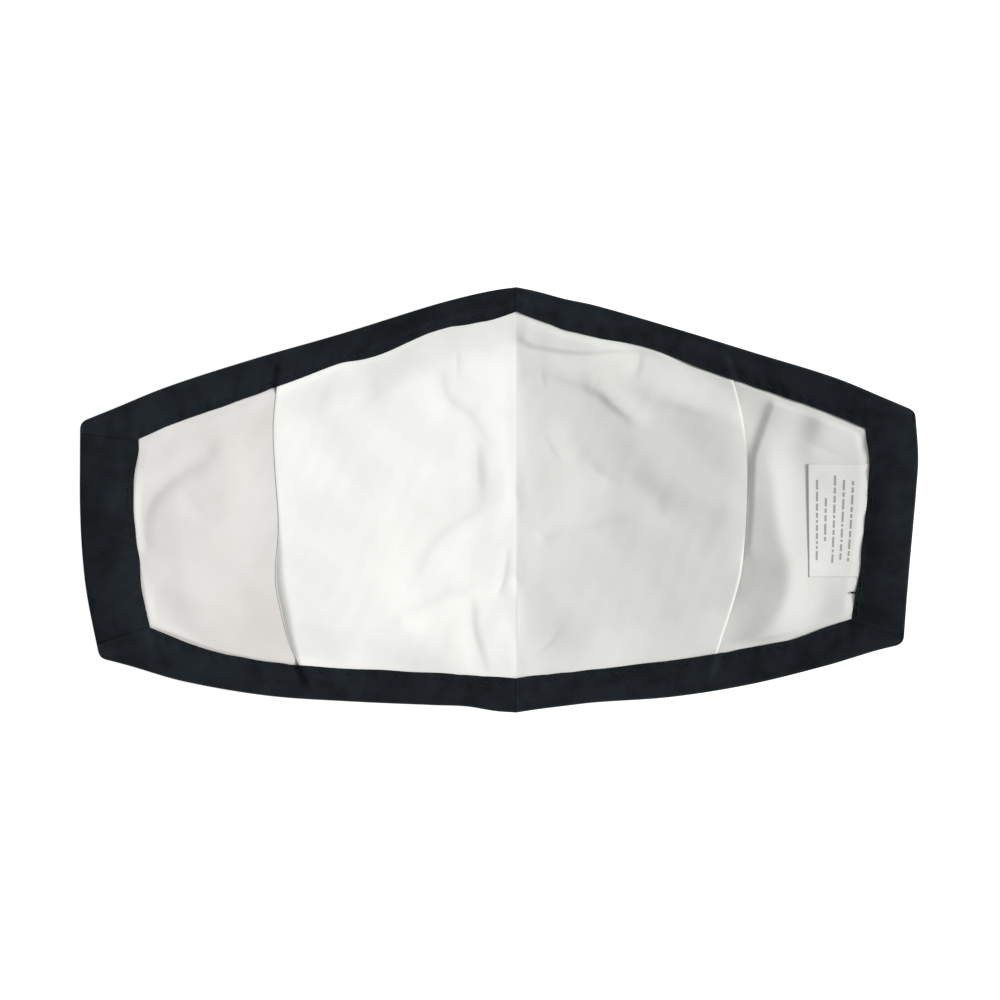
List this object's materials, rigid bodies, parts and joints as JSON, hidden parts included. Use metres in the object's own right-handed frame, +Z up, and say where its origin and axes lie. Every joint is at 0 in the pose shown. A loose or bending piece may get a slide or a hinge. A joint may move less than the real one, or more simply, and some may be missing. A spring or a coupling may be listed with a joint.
{
  "type": "cloth face mask",
  "caption": "Seamed cloth face mask with a white lining, an open-sided filter pocket, black hems and ear casings, lying inside up.",
  "frame": {"origin": "on the surface the mask lies on, below the middle of its outline", "axes": "+X along the mask's length towards the end with the care label, +Y from the chin edge to the nose edge, +Z up out of the mask's inside"},
  "size_m": [0.24, 0.122, 0.0178],
  "materials": {
    "outer_cloth": "matt black woven cloth",
    "hem_cloth": "matt black woven cloth, turned and stitched",
    "lining_cotton": "white plain-weave cotton",
    "label_tape": "smooth white woven tape"
  },
  "bodies": {
    "root": {"outer_left": "outer_cloth", "outer_right": "outer_cloth", "middle_left": "lining_cotton", "middle_right": "lining_cotton", "pocket_panel_left": "lining_cotton", "pocket_panel_right": "lining_cotton", "top_hem_left": "hem_cloth", "top_hem_right": "hem_cloth", "bottom_hem_left": "hem_cloth", "bottom_hem_right": "hem_cloth", "ear_casing_left": "hem_cloth", "ear_casing_right": "hem_cloth", "care_label": "label_tape"}
  },
  "joints": []
}
